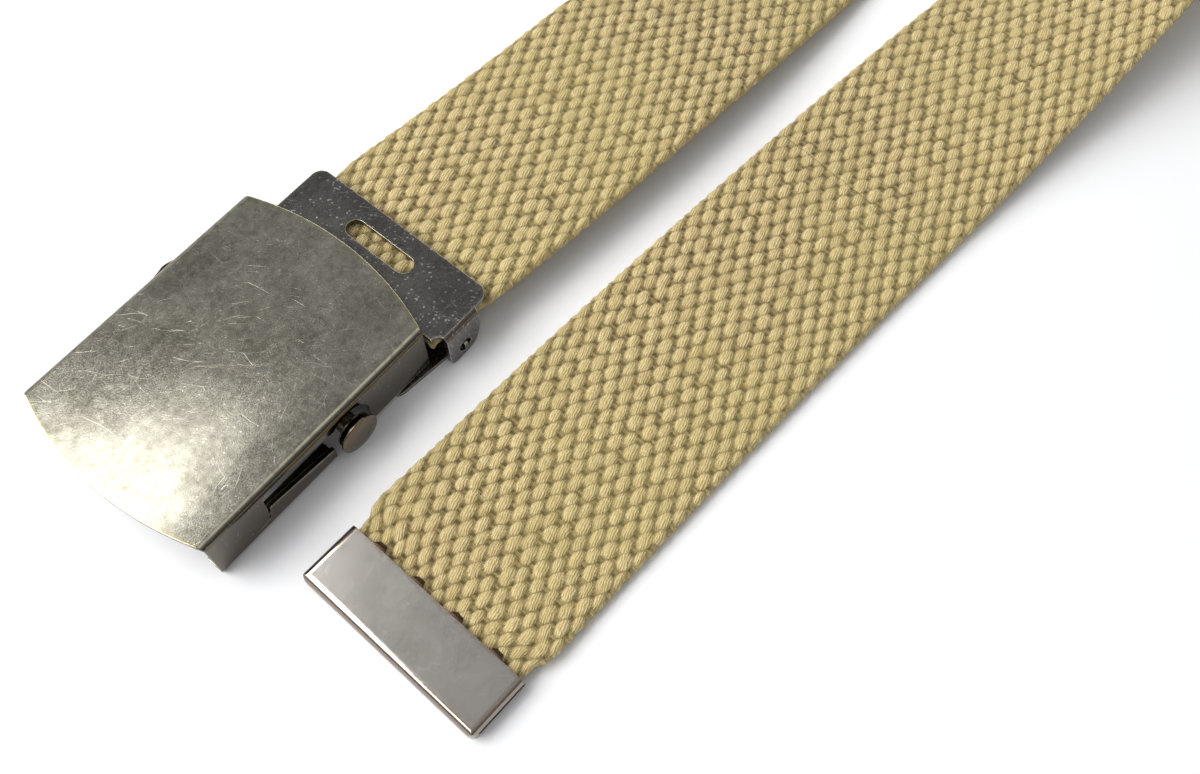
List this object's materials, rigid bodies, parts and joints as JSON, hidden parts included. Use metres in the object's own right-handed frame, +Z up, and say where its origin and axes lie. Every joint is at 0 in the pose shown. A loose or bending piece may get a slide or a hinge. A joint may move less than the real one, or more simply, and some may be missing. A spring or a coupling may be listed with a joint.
{
  "type": "canvas web belt",
  "caption": "Cotton web belt with a sliding roller buckle on one end and a folded metal cap on the other, lying face up with the rest of the webbing in one open loop.",
  "frame": {"origin": "on the table, under the middle of the whole belt's box", "axes": "+X along the buckle from its open mouth to the strap clamped in it, +Y to the buckle's side away from the tip cap, +Z up"},
  "size_m": [0.4868, 0.236, 0.0316],
  "materials": {
    "webbing": "coarse cotton web in a staggered basket weave, sand to khaki gold, tight woven edges",
    "face_plate": "aged nickel plate, grey olive, mottled, with many fine scratches and edges worn golden",
    "clip_plate": "dark gunmetal plate with light specks and scratches and bright worn edges",
    "roller_brass": "darkened brass, smooth, with a bright worn rim",
    "cap_nickel": "smooth satin nickel, edges worn coppery"
  },
  "bodies": {
    "belt": {"webbing": "webbing", "face_cover": "face_plate", "clip_frame": "clip_plate", "tip_cap": "cap_nickel"},
    "flap": {"clamp_flap": "clip_plate"},
    "roller": {"roller": "roller_brass"}
  },
  "joints": [
    {"name": "roller_slide", "type": "slide", "parent": "belt", "child": "roller", "axis": [-0.989, 0, 0.1478], "range_m": [0, 0.013]},
    {"name": "clamp_hinge", "type": "hinge", "parent": "belt", "child": "flap", "pos_m": [-0.19652, 0.03906, 0.0022], "axis": [0, -1, 0], "range_deg": [0, 100]}
  ]
}
